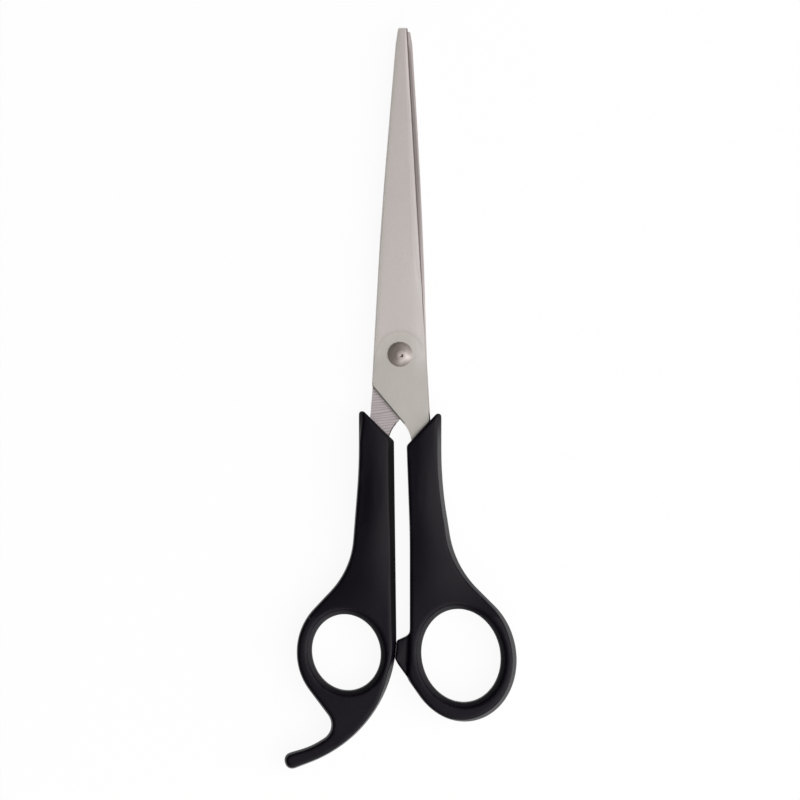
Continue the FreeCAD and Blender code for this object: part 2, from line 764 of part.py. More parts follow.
def handle_edge_tests(z, hole, mouth, inner_x):
    """Tests that pick a handle's rounded edges: around its outside, and around its hole."""
    (x1, y1), (x2, y2) = mouth
    long = math.hypot(x2 - x1, y2 - y1)

    def off_mouth(point):
        return abs((x2 - x1) * (point.y - y1) - (y2 - y1) * (point.x - x1)) / long > 0.25

    def level(edge):
        ends = [v.Point.z for v in edge.Vertexes]
        return min(abs(e) for e in ends) > 1.5 and ends[0] * ends[-1] > 0

    def outside(point, edge):
        if not level(edge) or abs(point.z) < 1.5 or inside(hole, point) < 1.15:
            return False
        return off_mouth(point) and (inner_x is None or abs(point.x) > inner_x)

    def around_hole(point, edge):
        return abs(point.z) > 1.5 and abs(inside(hole, point) - 1) < 0.03

    return outside, around_hole


def side_bevel(body, z, name, sections):
    """Cuts a bevel along a handle's inner side; each section is y, side, width and depth."""
    sketches = []
    for i, (y, x, inward, width, deep, top) in enumerate(sections, start=1):
        slope = deep / width
        points = [
            (x - inward * 1.0, top - deep - slope * 1.0),
            (x + inward * (width + 1.0), top + slope * 1.0),
            (x - inward * 1.0, top + slope * 1.0),
        ]
        sketches.append(section_sketch(body, f"{name}_{i}", y, points))
    return loft_cut(body, name, sketches, ruled=True)


def between(x1, y1, x2, y2, y):
    return x1 + (x2 - x1) / (y2 - y1) * (y - y1)


def build_left_grip(doc, z):
    """The handle with the small bow and the finger rest, still solid where its tang goes."""
    body = new_body(doc, "left_grip")
    side_x = z.left_bow_x - z.left_bow_b - z.left_rim
    tip_x, tip_y, tip_r = z.rest_tip_x, z.rest_tip_y, z.rest_tip_r
    lean = z.rest_tip_lean
    # Corners of the finger rest's end, square to its own direction.
    along_x, along_y = cosine(lean), sine(lean)
    reach = tip_r
    upper_x = tip_x - along_x * reach - along_y * tip_r
    upper_y = tip_y - along_y * reach + along_x * tip_r
    lower_x = tip_x - along_x * reach + along_y * tip_r
    lower_y = tip_y - along_y * reach - along_x * tip_r
    outline = new_sketch(body, "left_outline", "XY_Plane")
    draw_outline(
        outline,
        [
            Round(z.left_in_top, z.left_mouth_y),
            Round(z.left_out, z.left_horn_y),
            Round(z.left_out, z.left_waist_y, z.left_waist_round),
            Round(z.left_flare_x, z.left_flare_y, z.left_flare_round),
            Round(side_x, z.left_bow_y + z.left_side_up, z.left_bow_round),
            Round(side_x, z.left_bow_y - z.left_side_down, z.left_bow_round),
            Round(z.crook_x, z.crook_y, z.crook_round),
            Round(z.rest_bend_x, z.rest_bend_y, z.rest_bend_round),
            Round(upper_x, upper_y, tip_r * 0.88),
            Round(lower_x, lower_y, tip_r * 0.88),
            Round(z.heel_turn_x, z.heel_turn_y, z.heel_turn_round),
        ],
    )
    pad(body, "left_blank", outline, z.grip_thick, both_ways=True)

    shank_x = (z.left_in_top + z.left_out) / 2
    crown = crown_sections(body, z, "left", shank_x, z.left_bow_x)
    crown = loft_cut(body, "left_crown", crown, ruled=False)
    mirror_behind(body, "left_crown_back", [crown])

    hole = Oval(z.left_bow_x, z.left_bow_y, z.left_bow_a, z.left_bow_b, z.left_bow_lean)
    bow = new_sketch(body, "left_bow", "XY_Plane")
    draw_oval(bow, hole)
    pocket_through(body, "left_bow_hole", bow)

    mouth = ((z.left_in_top.number, z.left_mouth_y.number), (z.left_out.number, z.left_horn_y.number))
    outside, around_hole = handle_edge_tests(z, hole, mouth, None)
    bevel_edges(body, "left_edge_bevel", z.edge_bevel, outside)
    bevel_edges(body, "left_hole_bevel", z.hole_bevel, around_hole)

    def inner_x(y):
        return between(z.left_in_top, z.left_mouth_y, z.heel_turn_x, z.heel_turn_y, y)

    width, deep = z.left_bevel_width, z.left_bevel_deep
    side_top = z.grip_thick / 2 - 0.55
    start, middle, end = z.left_horn_y + 2, z.grip_full, z.left_bow_y - 2.5
    sections = [
        (start, inner_x(start), -1, width, deep, side_top),
        (middle, inner_x(middle), -1, width * 0.88, deep * 0.88, side_top),
        (end, inner_x(end), -1, width * 0.4, deep * 0.35, z.bow_thick / 2 - 0.05),
    ]
    bevel = side_bevel(body, z, "left_bevel", sections)
    mirror_behind(body, "left_bevel_back", [bevel])
    inner, horn = (z.left_in_top, z.left_mouth_y), (z.left_out, z.left_horn_y)
    finish_mouth(body, z, "left", inner, horn, -1)
    return body


def finish_mouth(body, z, name, inner, horn, side):
    """Rounds the horn beside the mouth, chamfers the mouth's lips; side is +1 on the right."""
    along_x, along_y = horn[0] - inner[0], horn[1] - inner[1]
    long = root(along_x * along_x + along_y * along_y)
    normal_x, normal_y = -side * along_y / long, side * along_x / long
    # The round cuts in a hair beyond its tangents, so it crosses both faces.
    near = z.horn_round - 0.02
    centre_x = horn[0] - side * near
    centre_y = horn[1] - near * (1 - side * normal_x) / normal_y
    flank = (centre_x + side * z.horn_round, centre_y)
    crest = (centre_x + normal_x * z.horn_round, centre_y + normal_y * z.horn_round)
    points = [
        flank,
        (flank[0] + side * 2, flank[1]),
        (flank[0] + side * 2, horn[1] + 2),
        (crest[0] + normal_x * 2, horn[1] + 2),
        (crest[0] + normal_x * 2, crest[1] + normal_y * 2),
        crest,
    ]
    sketch = new_sketch(body, name + "_horn", "XY_Plane")
    sides = []
    for first, second in zip(points, points[1:]):
        line = Part.LineSegment(numbers(first), numbers(second))
        sides.append(sketch.addGeometry(line, False))
        pin_point(sketch, sides[-1], 1, *first)
        if len(sides) > 1:
            sketch.addConstraint(Sketcher.Constraint("Coincident", sides[-2], 2, sides[-1], 1))
    pin_point(sketch, sides[-1], 2, *crest)
    centre = numbers((centre_x, centre_y))
    circle = Part.Circle(centre, Vector(0, 0, 1), z.horn_round.number)
    tops = [numbers(p) - centre for p in (flank, crest)]
    angles = [math.atan2(p.y, p.x) for p in tops]
    if side < 0:
        angles = [angles[1], math.pi]
    arc = sketch.addGeometry(Part.ArcOfCircle(circle, *angles), False)
    at_flank, at_crest = (1, 2) if side > 0 else (2, 1)
    sketch.addConstraint(Sketcher.Constraint("Coincident", arc, at_flank, sides[0], 1))
    sketch.addConstraint(Sketcher.Constraint("Coincident", arc, at_crest, sides[-1], 2))
    pocket_through(body, name + "_horn_round", sketch)

    x1, y1, x2, y2 = (size.number for size in (*inner, *horn))

    def lip(point, edge):
        off = abs((x2 - x1) * (point.y - y1) - (y2 - y1) * (point.x - x1)) / long.number
        return off < 0.05 and abs(point.z) > 3 and edge.Length > 3

    bevel_edges(body, name + "_lip_chamfer", z.lip_chamfer, lip)


def build_right_grip(doc, z):
    """The handle with the large bow and the stop, still solid where its tang goes."""
    body = new_body(doc, "right_grip")
    outer = Oval(
        z.right_bow_x,
        z.right_bow_y,
        z.right_bow_a + z.right_rim_end,
        z.right_bow_b + z.right_rim_side,
        z.right_bow_lean,
    )
    outline = new_sketch(body, "right_outline", "XY_Plane")
    draw_outline(
        outline,
        [
            Round(z.right_out, z.right_horn_y),
            Round(z.right_in_top, z.right_mouth_y),
            Round(z.right_in, z.right_in_bend_y, z.right_in_round),
            Round(z.right_in, z.right_ring_y, z.right_ring_round),
            Round(z.right_corner_x, z.right_corner_y),
            outer,
            Round(z.right_flare_x, z.right_flare_y, z.right_flare_round),
            Round(z.right_out, z.right_waist_y, z.right_waist_round),
        ],
    )
    pad(body, "right_blank", outline, z.grip_thick, both_ways=True)

    shank_x = (z.right_in_top + z.right_out) / 2
    crown = crown_sections(body, z, "right", shank_x, z.right_bow_x)
    crown = loft_cut(body, "right_crown", crown, ruled=False)
    mirror_behind(body, "right_crown_back", [crown])

    hole = Oval(z.right_bow_x, z.right_bow_y, z.right_bow_a, z.right_bow_b, z.right_bow_lean)
    bow = new_sketch(body, "right_bow", "XY_Plane")
    draw_oval(bow, hole)
    pocket_through(body, "right_bow_hole", bow)

    mouth = (
        (z.right_in_top.number, z.right_mouth_y.number),
        (z.right_out.number, z.right_horn_y.number),
    )
    outside, around_hole = handle_edge_tests(z, hole, mouth, z.right_in.number + 0.05)
    bevel_edges(body, "right_edge_bevel", z.edge_bevel, outside)
    bevel_edges(body, "right_hole_bevel", z.hole_bevel, around_hole)

    width, deep = z.right_bevel_width, z.right_bevel_deep
    side_top = z.grip_thick / 2 - 0.6
    bow_top = z.bow_thick / 2 - 0.05
    start, past = z.right_horn_y + 2, z.right_corner_y - 3

    def upper_x(y):
        return between(z.right_in_top, z.right_mouth_y, z.right_in, z.right_in_bend_y, y)

    def lower_x(y):
        return between(z.right_in, z.right_ring_y, z.right_corner_x, z.right_corner_y, y)

    sections = [
        (start, upper_x(start), 1, width, deep, side_top),
        (z.right_in_bend_y, z.right_in, 1, width, deep, side_top),
        (z.right_ring_y, z.right_in, 1, width, deep, bow_top),
        (past, lower_x(past), 1, width * 0.8, deep * 0.8, bow_top),
    ]
    bevel = side_bevel(body, z, "right_bevel", sections)
    mirror_behind(body, "right_bevel_back", [bevel])
    inner, horn = (z.right_in_top, z.right_mouth_y), (z.right_out, z.right_horn_y)
    finish_mouth(body, z, "right", inner, horn, 1)

    # The stop meets the left handle's inner side when the blades are shut.
    left_side = between(
        z.left_in_top, z.left_mouth_y, z.heel_turn_x, z.heel_turn_y, z.stop_y
    )
    face = left_side + z.stop_gap
    root = z.right_in + z.stop_root
    above = z.stop_y + z.stop_rise + z.stop_blend * 1.3
    stop = new_sketch(body, "stop_outline", "XY_Plane")
    draw_outline(
        stop,
        [
            Round(face, z.stop_y, z.stop_round),
            Round(face, z.stop_y - z.stop_long, z.stop_round),
            Round(z.right_corner_x + 0.3, z.right_corner_y),
            Round(z.right_corner_x + z.stop_root, z.right_corner_y + 2.2),
            Round(root, above),
            Round(z.right_in + 0.35, above),
            Round(z.right_in - 0.2, z.stop_y + z.stop_rise, z.stop_blend),
        ],
    )
    pad(body, "stop", stop, z.stop_thick, both_ways=True)
    return body


# ---------------------------------------------------------------- assembly


def place(thing, z, turn=None):
    """Lifts a piece from the pivot's own frame to the row frame."""
    lift = z.grip_thick / 2
    rotation = Rotation()
    if turn is not None:
        rotation = Rotation(180 - turn.number, 0, 180)
    thing.Placement = Placement(Vector(0, z.pivot_ahead.number, lift.number), rotation)
    bind(thing, "Placement.Base.y", z.pivot_ahead)
    bind(thing, "Placement.Base.z", lift)
    if turn is not None:
        bind(thing, "Placement.Rotation.Yaw", 180 - turn)


def moulded(doc, name, grip, blade):
    """The handle left after its blade's tang has taken its own room in it."""
    cut = doc.addObject("Part::Cut", name)
    cut.Label = name
    cut.Base = grip
    cut.Tool = blade
    return cut


def main():
    doc = FreeCAD.newDocument("fabric_shears")
    z = Sizes(doc)
    running_r = z.shank_r + z.rivet_slack
    front_blade = build_blade(
        doc, z, "front_blade", running_r, z.throat_x, z.shoulder_x, z.tip_y
    )
    rear_blade = build_blade(
        doc, z, "rear_blade", z.shank_r, z.rear_throat_x, z.rear_shoulder_x, z.rear_tip_y
    )
    rivet = build_rivet(doc, z)
    washer = build_washer(doc, z)
    left_grip = build_left_grip(doc, z)
    right_grip = build_right_grip(doc, z)
    place(rear_blade, z, z.blade_turn)
    for piece in (front_blade, rivet, washer, left_grip, right_grip):
        place(piece, z)
    left_handle = moulded(doc, "left_handle", left_grip, rear_blade)
    right_handle = moulded(doc, "right_handle", right_grip, front_blade)
    doc.recompute()

    for thing in doc.Objects:
        troubles = [state for state in thing.State if state in ("Invalid", "Error")]
        if troubles:
            raise RuntimeError(f"{thing.Name} does not recompute: {troubles}")
    nodes = (front_blade, rear_blade, left_handle, right_handle, rivet, washer)
    for node in nodes:
        if not node.Shape.isValid() or len(node.Shape.Solids) != 1:
            raise RuntimeError(f"{node.Label} is not one sound solid")
    os.makedirs(PARTS, exist_ok=True)
    for node in nodes:
        node.Shape.exportStep(f"{PARTS}/{node.Label}.step")
        print(node.Label, round(node.Shape.Volume, 1), node.Shape.optimalBoundingBox(False))


main()
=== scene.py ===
"""A pair of fabric shears: satin steel blades, a turned rivet and moulded black grips."""

import json
import math

import bmesh
import bpy
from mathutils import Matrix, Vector
from mathutils.kdtree import KDTree


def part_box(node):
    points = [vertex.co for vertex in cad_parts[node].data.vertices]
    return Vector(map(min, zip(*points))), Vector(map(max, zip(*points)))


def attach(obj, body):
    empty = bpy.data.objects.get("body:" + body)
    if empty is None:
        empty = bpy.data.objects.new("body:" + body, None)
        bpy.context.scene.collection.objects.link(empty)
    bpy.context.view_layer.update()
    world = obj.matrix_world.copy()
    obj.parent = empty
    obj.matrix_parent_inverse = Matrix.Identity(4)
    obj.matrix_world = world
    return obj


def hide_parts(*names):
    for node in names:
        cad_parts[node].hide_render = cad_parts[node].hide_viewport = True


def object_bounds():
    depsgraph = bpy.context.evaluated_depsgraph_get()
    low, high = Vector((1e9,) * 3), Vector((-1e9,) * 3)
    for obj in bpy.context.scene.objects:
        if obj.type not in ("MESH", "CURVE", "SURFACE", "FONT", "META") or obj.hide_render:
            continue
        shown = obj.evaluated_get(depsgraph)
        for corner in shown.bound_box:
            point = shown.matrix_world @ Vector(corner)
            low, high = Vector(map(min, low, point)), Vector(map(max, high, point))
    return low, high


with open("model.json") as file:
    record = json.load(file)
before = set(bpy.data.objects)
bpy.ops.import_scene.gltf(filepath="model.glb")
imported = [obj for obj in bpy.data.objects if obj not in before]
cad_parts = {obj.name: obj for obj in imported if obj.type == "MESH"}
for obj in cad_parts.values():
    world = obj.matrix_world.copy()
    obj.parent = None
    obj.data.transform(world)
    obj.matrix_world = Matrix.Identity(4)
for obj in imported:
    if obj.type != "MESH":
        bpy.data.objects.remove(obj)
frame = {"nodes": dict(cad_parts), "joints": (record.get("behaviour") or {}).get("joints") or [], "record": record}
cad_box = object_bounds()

MM = 0.001
MID = (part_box("left_handle")[0].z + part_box("left_handle")[1].z) / 2
FLOOR = cad_box[0].z - 0.02 * MM
PIVOT = Vector(frame["joints"][0]["pos_m"])
BOWS = {mount["name"]: Vector(mount["pos_m"]) / MM for mount in frame["record"]["mounts"]}

# All the sizes below are in millimetres.
# The rivet head's radius, its centre mark's, and how far off its axis its peened crown sits.
HEAD_RADIUS, MARK_RADIUS = 3.3, 1.7
CROWN_X, CROWN_Y = 0.36, -0.34

# A bevel's normal points up by a share between these, and a wall's by less than the third. A
# wall smaller than a sliver, in square millimetres, doesn't count.
BEVEL_LOW, BEVEL_HIGH, WALL_UP, SLIVER = 0.30, 0.80, 0.2, 0.01

# The longest edge that a bevel keeps and the rounds of cuts that bring it down to that, how far
# along a rim its sides are averaged, and a width that no bevel has.
BEVEL_EDGE, CUT_ROUNDS, RIM_SPAN, WIDEST_BEVEL = 0.7, 6, 4.0, 6.0

# The bows' middles and half sizes. Inside this ratio of them, a bevel belongs to the bow's hole.
BOW_HOLES = {
    "left_handle": (BOWS["small_bow"], 9.35, 10.5),
    "right_handle": (BOWS["large_bow"], 10.75, 12.85),
}
HOLE_RATIO = 1.28

# The way that the deepest and widest bevels face: right, and a little towards the bows.
LIT_X, LIT_Y = 0.93, -0.37

# The crest of each grip's arched back, from the middle line, and its reach to each side.
BACKS = {"left_handle": (-6.0, 8.0), "right_handle": (7.0, 9.0)}

# The cell of the grips' skin and the number of passes that soften it.
SKIN_CELL, SKIN_PASSES = 0.34, 8


# ---------------------------------------------------------------- shader maths


class Wire:
    """A value in a material. Sums and products of wires add Math nodes."""

    def __init__(self, look, socket):
        self.look, self.socket = look, socket

    def __add__(self, other):
        return self.look.math("ADD", self, other)

    def __sub__(self, other):
        return self.look.math("SUBTRACT", self, other)

    def __rsub__(self, other):
        return self.look.math("SUBTRACT", other, self)

    def __mul__(self, other):
        return self.look.math("MULTIPLY", self, other)

    def __pow__(self, other):
        return self.look.math("POWER", self, other)

    def __abs__(self):
        return self.look.math("ABSOLUTE", self)

    __radd__, __rmul__ = __add__, __mul__


class Look:
    """A material under construction, or the world's, with one method that adds any node."""

    def __init__(self, name, data=None):
        self.data = data or bpy.data.materials.new(name)
        self.data.use_nodes = True
        self.tree = self.data.node_tree
        self.tree.nodes.clear()

    def node(self, kind, settings=None, inputs=None, out=0):
        """Adds a node: its settings first, then its sockets' values and links."""
        made = self.tree.nodes.new("ShaderNode" + kind)
        for name, value in (settings or {}).items():
            setattr(made, name, value)
        for name, value in (inputs or {}).items():
            if isinstance(value, Wire):
                self.tree.links.new(value.socket, made.inputs[name])
            else:
                made.inputs[name].default_value = value
        return Wire(self, made.outputs[out]) if made.outputs else None

    def math(self, operation, *values):
        return self.node("Math", {"operation": operation}, dict(enumerate(values)))

    def part(self, vector, axis):
        """One of a vector's parts: 0 for x, 1 for y and 2 for z."""
        return self.node("SeparateXYZ", inputs={0: vector}, out=axis)

    def reach(self, x, y):
        """The distance from the axis that x and y are measured from."""
        return self.math("SQRT", x * x + y * y)

    def place(self):
        """The point on the piece in millimetres from the pivot on the mid-plane, and its parts."""
        point = self.node("TexCoord", out="Object")
        shifted = self.node(
            "Mapping",
            {"vector_type": "POINT"},
            {
                "Vector": point,
                "Location": tuple(-c / MM for c in (PIVOT.x, PIVOT.y, MID)),
                "Scale": (1 / MM,) * 3,
            },
        )
        return shifted, *(self.part(shifted, axis) for axis in range(3))

    def stretched(self, point, scale, turn=0.0):
        """The same point with a scale along each axis, for grain that runs one way."""
        return self.node(
            "Mapping",
            {"vector_type": "POINT"},
            {"Vector": point, "Rotation": (0, 0, math.radians(turn)), "Scale": scale},
        )

    def noise(self, point, scale, detail=2.0, rough=0.5):
        return self.node(
            "TexNoise",
            inputs={"Vector": point, "Scale": scale, "Detail": detail, "Roughness": rough},
        )

    def step(self, value, low, high):
        """0 below low, 1 above high, with a soft change between them."""
        return self.node(
            "MapRange",
            {"interpolation_type": "SMOOTHSTEP"},
            {"Value": value, "From Min": low, "From Max": high},
        )

    def blend(self, factor, first, second):
        """The first colour, or the second where the factor is 1."""
        first, second = (
            (*colour, 1) if isinstance(colour, tuple) else colour for colour in (first, second)
        )
        return self.node(
            "Mix", {"data_type": "RGBA"}, {"Factor": factor, 6: first, 7: second}, out=2
        )

    def bump(self, height, strength, depth):
        return self.node(
            "Bump", inputs={"Height": height, "Strength": strength, "Distance": depth * MM}
        )

    def finish(self, **inputs):
        """Ends the material in a shader with these inputs."""
        named = {name.replace("_", " "): value for name, value in inputs.items()}
        shader = self.node("BsdfPrincipled", inputs=named)
        self.node("OutputMaterial", inputs={"Surface": shader})
        return self.data


def tone(red, green, blue):
    """Linear colour of a tone given from 0 to 255."""
    def linear(c):
        c /= 255
        return c / 12.92 if c <= 0.04045 else ((c + 0.055) / 1.055) ** 2.4
    return tuple(linear(c) for c in (red, green, blue))


# ---------------------------------------------------------------- finishes


def spine_line(look, y):
    """How far right the blades' spine lies at y. It leans more beyond its bend."""
    bend_x, bend_y, lean, lean_beyond = -5.0, 42.5, 0.0538, 0.0885
    past = y - bend_y
    return look.math("MAXIMUM", past * lean, past * lean_beyond) + bend_x


def satin_steel(name):
    """Blade steel: satin outer faces, with straight grinding lines on the inner ones."""
    look = Look(name)
    point, x, y, z = look.place()
    inner = 1 - look.step(abs(z), 0.16, 0.24)
    facing = look.node("TexCoord", out="Normal")
    upright = abs(look.part(facing, 2))
    rightward = look.step(look.part(facing, 0), 0.0, 0.3)

    # The outer faces: fine satin along the blade, greyer by the spine, round the ride and behind
    # it, painted lighter beside the ride as painted light, with a worn arc round the rivet.
    satin = look.noise(look.stretched(point, (7.0, 0.5, 3.0), 1.4), 1.0, 4.0, 0.6)
    speck = look.noise(point, 3.2, 2.0, 0.6)
    cloud = look.noise(look.stretched(point, (0.16, 0.05, 0.1)), 1.0, 3.0)
    strip = 1 - look.step(x - spine_line(look, y), 0.5, 1.7)
    reach = look.reach(x, y)
    ride = 1 - look.step(reach + cloud * 3.0, 5.2, 9.4)
    behind = 1 - look.step(y + cloud * 4.0, -1.0, 4.0)
    grey = look.math("MAXIMUM", look.math("MAXIMUM", strip, ride), behind)
    arc = look.step(reach, 5.7, 6.3) * (1 - look.step(reach, 6.3, 7.2)) * look.step(y, 0.0, 3.5)
    warm = look.blend(cloud, tone(192, 184, 182), tone(200, 193, 190))
    cool = look.blend(cloud, tone(185, 180, 173), tone(192, 188, 182))
    cool = look.blend(behind * 0.4, cool, tone(173, 170, 166))
    outer_colour = look.blend(grey, warm, cool)
    # Painted light: lighter right of the ride, where the light falls brighter on the blade.
    beside = look.step(x, 2.2, 5.6) * look.step(y, -10.0, 4.0) * (1 - look.step(y, 24.0, 42.0))
    outer_colour = look.blend(beside * 0.4, outer_colour, tone(212, 208, 206))
    shade = speck * 0.34 + satin * 0.16 + arc * speck * cloud * 0.52 - 0.20
    outer_colour = look.blend(shade, outer_colour, tone(120, 112, 108))

    # The inner faces: ground across, in lines a fraction of a millimetre apart.
    wander = look.noise(look.stretched(point, (0.10, 0.5, 1.0)), 1.0, 2.0)
    across = y - x * 0.13 + wander * 1.1
    lines = look.math("SINE", across * 8.4) * 0.5 + 0.5
    fine = look.noise(look.stretched(point, (0.5, 8.0, 1.0), 7.0), 1.0, 3.0, 0.6)
    ahead = look.step(y, 0.0, 12.0)
    rub = (lines ** 3.0) * (0.55 - ahead * 0.45) + fine * 0.45
    inner_colour = look.blend(rub, tone(190, 181, 182), tone(139, 131, 132))
    inner_colour = look.blend(ahead * 0.5, inner_colour, tone(196, 186, 182))
    colour = look.blend(inner, outer_colour, inner_colour)

    # The edges, by how upright they face, with painted light and shade: the shallow bevel painted
    # darker, the chamfers lighter facing left and darker facing right, and the steep hone dark.
    # Painted shade: the shallow bevel is painted darker where it catches the light.
    bevel = look.step(upright, 0.90, 0.92) * (1 - look.step(upright, 0.9988, 0.9998))
    colour = look.blend(bevel * 0.33, colour, tone(146, 139, 136))
    # Painted light: chamfers that face left are painted near white.
    corner = look.step(upright, 0.60, 0.66) * (1 - look.step(upright, 0.80, 0.88))
    colour = look.blend(corner * (1 - rightward), colour, tone(238, 232, 228))
    # Painted shade: chamfers that face right are painted dark, more so towards the tip.
    right_chamfer_shade = corner * rightward * (0.45 + look.step(y, 2.0, 18.0) * 0.45)
    colour = look.blend(right_chamfer_shade, colour, tone(96, 88, 86))
    # Painted shade: the steep hone facet is painted near-black, as shade along the cutting edge.
    hone = look.step(upright, 0.08, 0.16) * (1 - look.step(upright, 0.36, 0.60))
    colour = look.blend(hone * 0.85, colour, tone(74, 68, 66))
    return look.finish(
        Base_Color=colour,
        Metallic=1.0,
        Roughness=0.40 + satin * 0.05 + speck * 0.03 - inner * 0.04,
        Normal=look.bump(
            (satin * 0.5 + speck * 0.4) * (1 - inner) + (rub * 1.2) * inner, 0.30, 0.012
        ),
    )


def turned_steel(name):
    """Rivet steel, turned, a little tarnished towards its rim, with fine rings about the pivot, and painted light
    and shade across its head and in its centre mark.
    """
    look = Look(name)
    point, x, y, _ = look.place()
    reach = look.reach(x, y)
    rings = look.math("SINE", reach * 34.0) * 0.5 + 0.5
    cloud = look.noise(point, 0.9, 3.0)
    rim = look.step(reach + cloud * 0.8, 2.3, 4.0)
    # Painted shade: the centre mark is painted dark, as shade in its dimple.
    pit = 1 - look.step(look.reach(x - CROWN_X, y - CROWN_Y), 0.26, 0.66)
    # Painted light and shade: the head painted lighter to the upper left, darker to the lower right.
    painted_side_light = look.step(y * 0.5 - x * 0.85 + cloud * 1.6, -1.9, 3.1)
    colour = look.blend(painted_side_light, tone(150, 144, 142), tone(224, 210, 202))
    colour = look.blend(look.step(cloud, 0.45, 0.70) * 0.35, colour, tone(140, 124, 116))
    colour = look.blend(rim * 0.5, colour, tone(150, 139, 133))
    colour = look.blend(pit * 0.65, colour, tone(70, 60, 57))
    return look.finish(
        Base_Color=colour,
        Metallic=1.0,
        Roughness=0.42 + cloud * 0.12 + rim * 0.06,
        Normal=look.bump(rings * 0.7 + cloud * 0.9, 0.22, 0.012),
    )


def moulded_black(name):
    """Grip plastic: black with a faint violet tint, spark grain, dust and a thin parting line."""
    look = Look(name)
    point, x, y, z = look.place()
    grain = look.noise(point, 3.6, 3.0, 0.6)
    patch = look.noise(look.stretched(point, (0.10, 0.05, 0.10)), 1.0, 3.0)
    speck = look.noise(point, 1.3, 2.0)
    parting = 1 - look.step(abs(z), 0.03, 0.09)
    dust = look.step(look.noise(point, 0.75, 1.0), 0.80, 0.84)
    colour = look.blend(patch * 0.6 + grain * 0.4, tone(7, 3, 11), tone(15, 10, 20))
    colour = look.blend(dust * 0.35, colour, tone(90, 86, 90))

    # The left grip's side along the gap, down to the stop, is matt and painted near-black as
    # shade between the grips. It leans a little.
    upward, lean = look.part(look.node("TexCoord", out="Normal"), 2), 0.0101
    matt_shaded_gap_side = look.step(x + y * lean, -4.2, -3.8) * look.step(x, -0.85, -0.98)
    matt_shaded_gap_side = matt_shaded_gap_side * (1 - look.step(upward, 0.80, 0.90)) * look.step(y, -79.0, -74.0)
    colour = look.blend(matt_shaded_gap_side, colour, tone(3, 2, 4))
    return look.finish(
        Base_Color=colour,
        Roughness=0.33 + patch * 0.05 + grain * 0.05 + matt_shaded_gap_side * 0.34,
        Specular_IOR_Level=0.13,
        Normal=look.bump(grain * 0.7 + speck * 0.3 - parting * 0.9, 0.32, 0.05),
    )


def floor_white(name):
    """A plain white floor that keeps a soft shadow."""
    look = Look(name)
    direct, gloss, through = (
        look.node("LightPath", out=f"Is {ray} Ray") for ray in ("Camera", "Glossy", "Transmission")
    )
    seen = look.math("MINIMUM", direct + gloss + through, 1.0)
    matt = look.node("BsdfDiffuse", inputs={"Color": (0.9, 0.9, 0.9, 1)})
    glow = look.node("Emission", inputs={"Color": (1, 1, 1, 1), "Strength": 1.0})
    both = look.node("MixShader", inputs={0: seen * 0.93, 1: matt, 2: glow})
    look.node("OutputMaterial", inputs={"Surface": both})
    return look.data


# ---------------------------------------------------------------- pieces


def ramp(value, low, high):
    """0 at low and before it, 1 at high and beyond, and a straight change between."""
    return min(1.0, max(0.0, (value - low) / (high - low)))


def merged(node, name, finish):
    """A copy of a CAD node with its triangles joined into one shell."""
    shell = bmesh.new()
    shell.from_mesh(frame["nodes"][node].data)
    bmesh.ops.remove_doubles(shell, verts=shell.verts, dist=0.002 * MM)
    bmesh.ops.dissolve_degenerate(shell, edges=shell.edges, dist=0.001 * MM)
    mesh = bpy.data.meshes.new(name)
    shell.to_mesh(mesh)
    shell.free()
    if "custom_normal" in mesh.attributes:
        mesh.attributes.remove(mesh.attributes["custom_normal"])
    mesh.materials.clear()
    mesh.materials.append(finish)
    piece = bpy.data.objects.new(name, mesh)
    bpy.context.scene.collection.objects.link(piece)
    return piece


def settle(piece):
    """Turns a piece's modifiers into its mesh."""
    graph = bpy.context.evaluated_depsgraph_get()
    final = bpy.data.meshes.new_from_object(piece.evaluated_get(graph))
    piece.modifiers.clear()
    piece.data = final


def peened(piece):
    """Sets a rivet head's crown and its wider centre mark a little off its axis."""
    for corner in piece.data.vertices:
        x, y = (corner.co.x - PIVOT.x) / MM, (corner.co.y - PIVOT.y) / MM
        reach = math.hypot(x, y)
        if corner.co.z > MID and reach < HEAD_RADIUS:
            widen = 1 + 0.7 * ramp(-reach, -MARK_RADIUS, 0.0)
            shift = 1 - (reach / HEAD_RADIUS) ** 2
            corner.co.x = PIVOT.x + (x * widen + CROWN_X * shift) * MM
            corner.co.y = PIVOT.y + (y * widen + CROWN_Y * shift) * MM


def stands_for(piece, node, body):
    """Puts a piece on its body in its CAD node's place, and hides the node."""
    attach(piece, body)
    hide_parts(node)


def crisp_heel(shell):
    """Brings the chamfer under the upper blade's heel and beside its tang up to a crisp edge."""
    heel, clear_of_heel, tang_end = -9, -9.4, -26
    for face in shell.faces:
        middle = (face.calc_center_median() - PIVOT) / MM
        chamfer = face.normal.x < -0.2 and 0.6 < face.normal.z < 0.8
        if chamfer and tang_end < middle.y < heel:
            top = max(corner.co.z for corner in face.verts)
            for corner in face.verts:
                if (corner.co.y - PIVOT.y) / MM < clear_of_heel:
                    corner.co.z = top


def eased_throat(shell):
    """Chamfers the edge of the lower blade's tang where it faces the gap between the handles."""
    gap_top, tang_end, right_end, chamfer = -16.5, -26, -1, 0.32
    edges = []
    for edge in shell.edges:
        if len(edge.link_faces) == 2:
            wall, top = sorted(edge.link_faces, key=lambda face: face.normal.z)
            middle = ((edge.verts[0].co + edge.verts[1].co) / 2 - PIVOT) / MM
            in_gap = tang_end < middle.y < gap_top and middle.x < right_end
            side = wall.normal
            faces_gap = abs(side.z) < 0.1 and side.x > 0.3 and side.y < -0.1
            if in_gap and faces_gap and top.normal.z > 0.95:
                edges.append(edge)
    bmesh.ops.bevel(shell, geom=edges, offset=chamfer * MM, segments=1, affect="EDGES")


